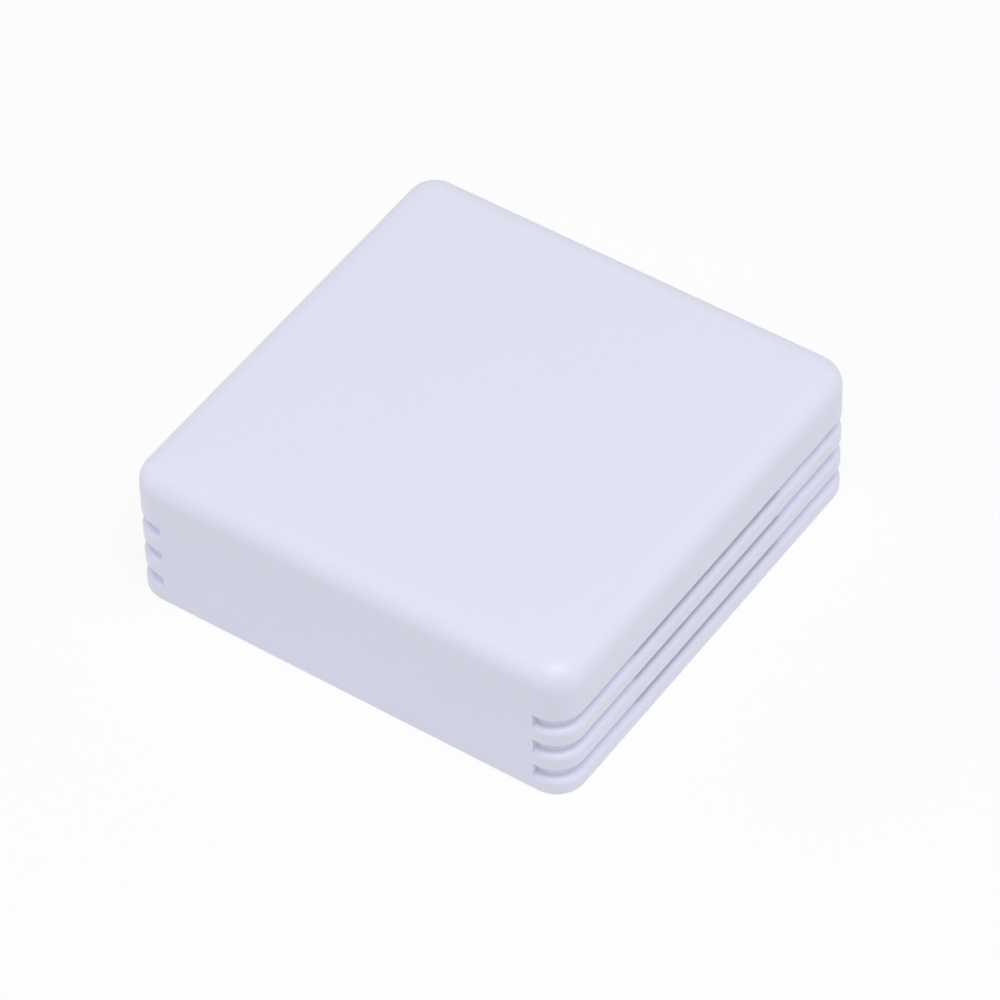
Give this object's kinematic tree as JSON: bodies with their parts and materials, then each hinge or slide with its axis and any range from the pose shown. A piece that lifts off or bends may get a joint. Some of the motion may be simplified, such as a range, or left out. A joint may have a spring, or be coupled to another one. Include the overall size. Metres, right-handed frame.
{
  "type": "temperature humidity sensor",
  "caption": "Square wall sensor for temperature and humidity: a deep white cover with vent grooves, over a back cover, board and battery holder.",
  "frame": {"origin": "middle of the mounting face, at the bottom of the box", "axes": "+Z out of the wall through the front cover, X across the two vented faces, latch on the +Y side"},
  "size_m": [0.06, 0.06, 0.02],
  "materials": {
    "white_shell": "fine satin texture",
    "white_plate": "matte",
    "foam_pad": "matte foam",
    "green_board": "solder mask",
    "screw_steel": "zinc plated",
    "black_holder": "matte",
    "nickel": "nickel plated",
    "cell_can": "bright",
    "cell_sleeve": "gloss",
    "radio_mask": "solder mask",
    "shield_tin": "satin",
    "antenna_white": "satin",
    "chip_black": "satin",
    "tin": "bright",
    "button_plastic": "satin",
    "lamp_clear": "clear",
    "ceramic_tan": "satin",
    "resistor_black": "satin"
  },
  "bodies": {
    "base": {"back_cover": "white_plate", "adhesive_pad": "foam_pad", "circuit_board": "green_board", "board_screws": "screw_steel", "battery_holder": "black_holder", "series_contact": "nickel", "positive_contact": "nickel", "negative_contact": "nickel", "radio_board": "radio_mask", "radio_shield": "shield_tin", "chip_antenna": "antenna_white", "sensor_chip": "chip_black", "switch_body": "chip_black", "switch_frame": "shield_tin", "switch_terminals": "tin", "status_lamp": "lamp_clear", "capacitor_can": "cell_can", "capacitor_base": "chip_black", "crystal": "shield_tin", "regulator_chip": "chip_black", "regulator_leads": "tin", "chip_capacitors": "ceramic_tan", "chip_resistors": "resistor_black", "chip_ends": "tin"},
    "cover": {"front_cover": "white_shell"},
    "cell_1": {"cell_1_can": "cell_can", "cell_1_sleeve": "cell_sleeve"},
    "cell_2": {"cell_2_can": "cell_can", "cell_2_sleeve": "cell_sleeve"},
    "button": {"switch_button": "button_plastic"},
    "latch": {"snap_latch": "white_plate"}
  },
  "joints": [
    {"name": "cover_lift", "type": "slide", "parent": "base", "child": "cover", "axis": [0, 0, 1], "range_m": [0, 0.03]},
    {"name": "cell_1_lift", "type": "slide", "parent": "base", "child": "cell_1", "axis": [0, 0, 1], "range_m": [0, 0.012]},
    {"name": "cell_2_lift", "type": "slide", "parent": "base", "child": "cell_2", "axis": [0, 0, 1], "range_m": [0, 0.012]},
    {"name": "button_press", "type": "slide", "parent": "base", "child": "button", "axis": [0, 0, -1], "range_m": [0, 0.00025], "stiffness_N_per_m": 6000},
    {"name": "latch_press", "type": "hinge", "parent": "base", "child": "latch", "pos_m": [0, 0.0266, 0.008], "axis": [-1, 0, 0], "range_deg": [0, 6], "stiffness_Nm_per_rad": 0.2}
  ],
  "couplings": [
    {"joint": "cell_1_lift", "follows": "cover_lift", "ratio": 0.4},
    {"joint": "cell_2_lift", "follows": "cover_lift", "ratio": 0.4}
  ]
}
